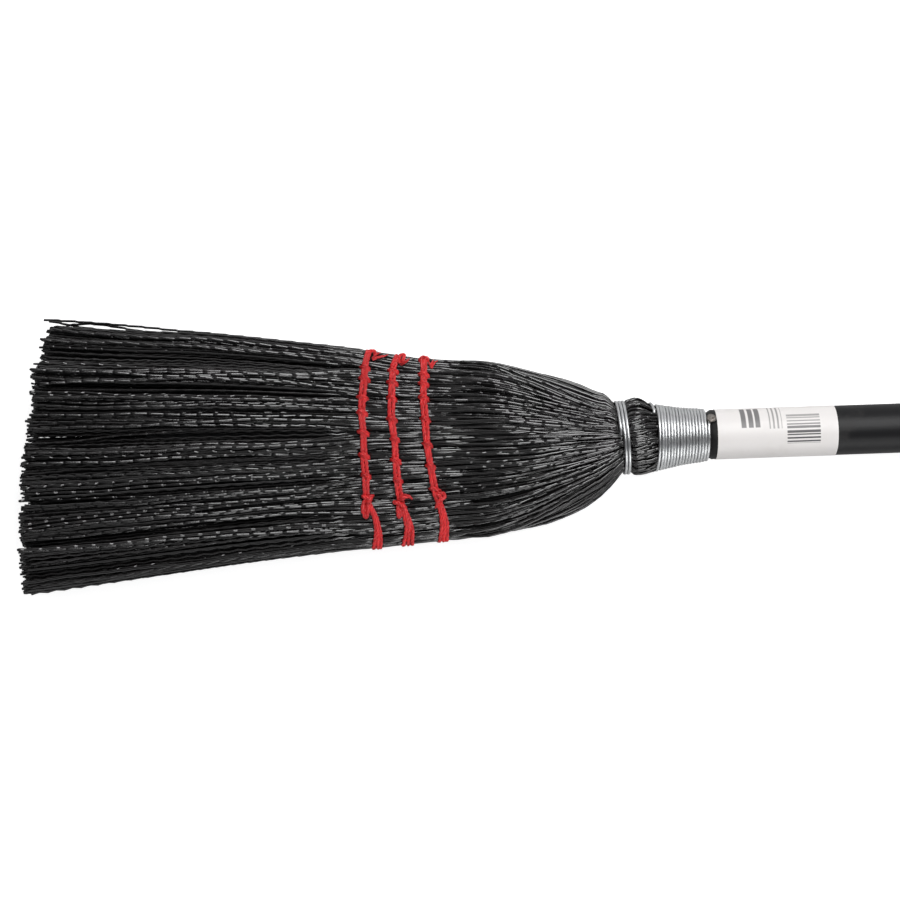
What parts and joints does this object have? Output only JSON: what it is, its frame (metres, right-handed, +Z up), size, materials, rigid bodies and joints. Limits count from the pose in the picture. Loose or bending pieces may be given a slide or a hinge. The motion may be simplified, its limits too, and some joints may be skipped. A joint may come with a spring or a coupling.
{
  "type": "lobby broom",
  "caption": "Short-handled lobby broom: black wooden handle wired into a flat fan of black plastic bristles, held flat by rows of red twine.",
  "frame": {"origin": "bottom centre of the broom's box as it lies on its back on the floor", "axes": "+X towards the grip end of the handle, +Y across the head, +Z up, out of the front face"},
  "size_m": [0.915, 0.1208, 0.04],
  "materials": {
    "painted_wood": "satin black paint on a turned dowel",
    "label_paper": "coated white paper",
    "bristle": "crimped black filament",
    "wire": "bright galvanised wire",
    "nail_steel": "plain steel",
    "twine": "twisted red twine"
  },
  "bodies": {
    "root": {"handle": "painted_wood", "handle_label": "label_paper", "core_bristles": "bristle", "upper_shoulder_bristles": "bristle", "lower_shoulder_bristles": "bristle", "front_cover_bristles": "bristle", "back_cover_bristles": "bristle", "core_binding_wire": "wire", "throat_band": "wire", "neck_winding": "wire", "wire_end_nail": "nail_steel", "stitch_1_wrap": "twine", "stitch_1_lock": "twine", "stitch_1_knot": "twine", "stitch_2_wrap": "twine", "stitch_2_lock": "twine", "stitch_2_knot": "twine", "stitch_3_wrap": "twine", "stitch_3_lock": "twine", "stitch_3_knot": "twine"}
  },
  "joints": []
}
